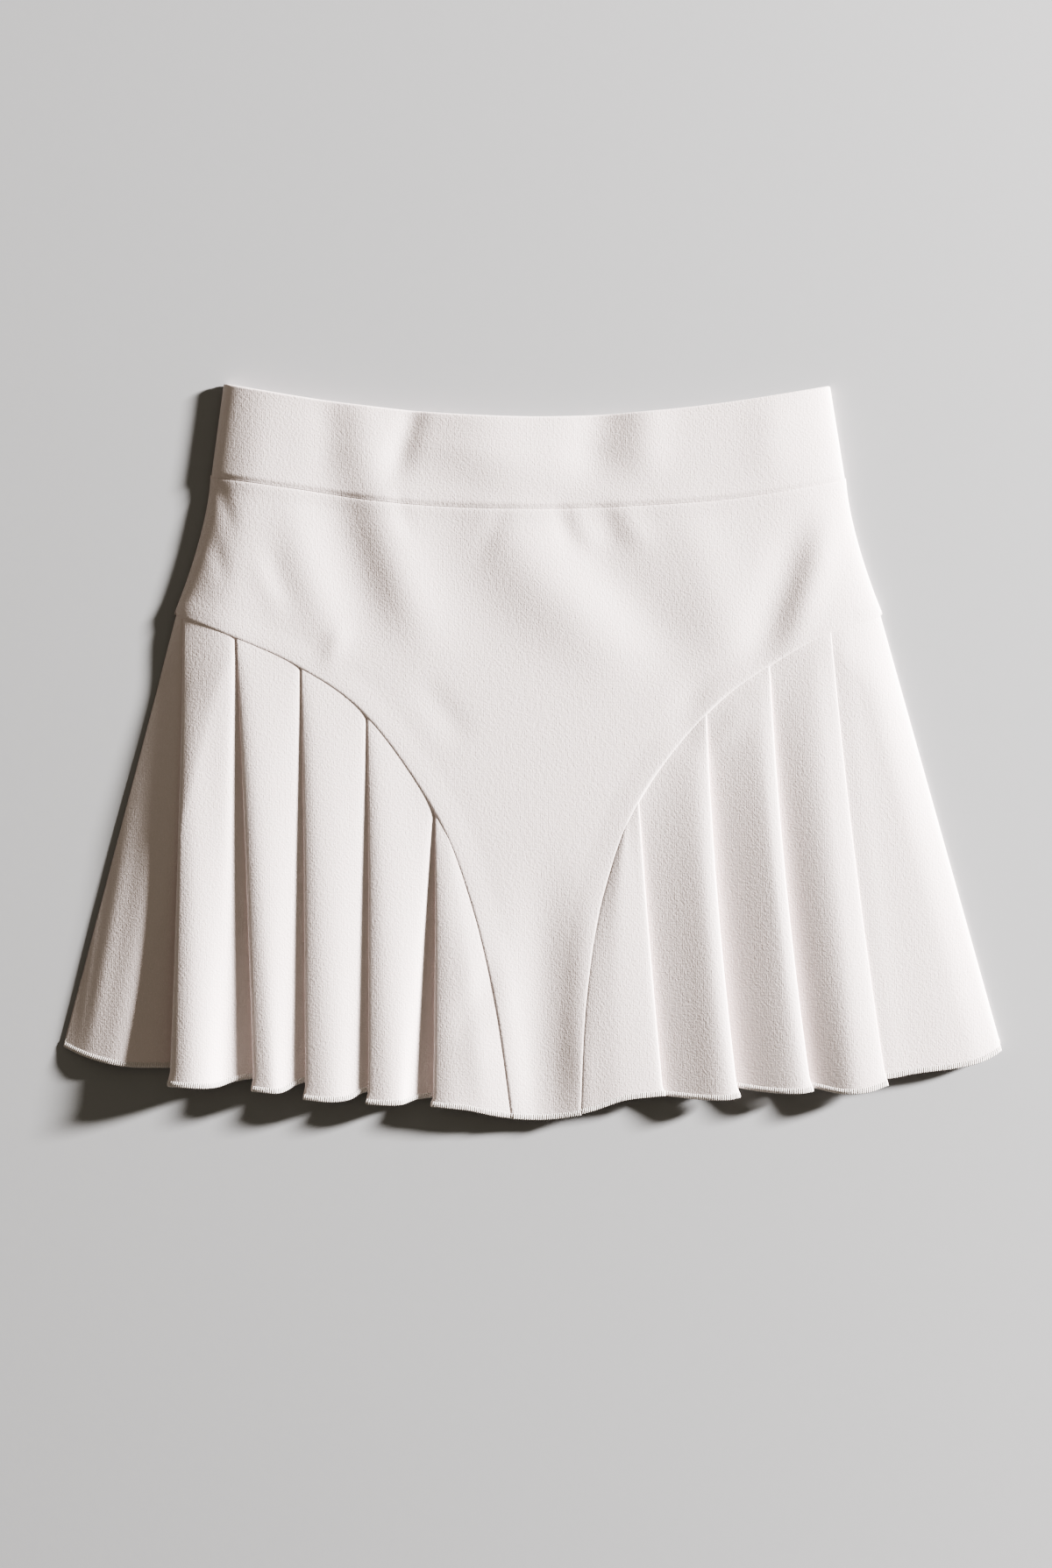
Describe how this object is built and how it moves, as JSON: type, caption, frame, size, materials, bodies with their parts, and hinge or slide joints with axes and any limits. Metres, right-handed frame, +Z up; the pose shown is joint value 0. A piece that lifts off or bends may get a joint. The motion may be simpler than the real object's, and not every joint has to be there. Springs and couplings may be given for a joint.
{
  "type": "tennis skort laid flat",
  "caption": "White pull-on tennis skort laid flat: wide waistband, Y-shaped front panel to the hem, knife-pleated side panels, plain back and hidden inner shorts.",
  "frame": {"origin": "middle of the garment's outline, on the surface that its back lies on", "axes": "+X across the garment to the right seen from above, +Y from the hem to the waist, +Z up from the surface"},
  "size_m": [0.5021, 0.3936, 0.0097],
  "materials": {
    "shell_jersey": "matte white stretch jersey with a fine even grain",
    "shorts_jersey": "matte white smooth stretch jersey"
  },
  "bodies": {
    "root": {"waistband_front": "shell_jersey", "waistband_back": "shell_jersey", "front_panel": "shell_jersey", "side_panel_left": "shell_jersey", "side_panel_right": "shell_jersey", "back_yoke": "shell_jersey", "back_skirt": "shell_jersey", "shorts_front": "shorts_jersey", "shorts_back": "shorts_jersey"}
  },
  "joints": []
}
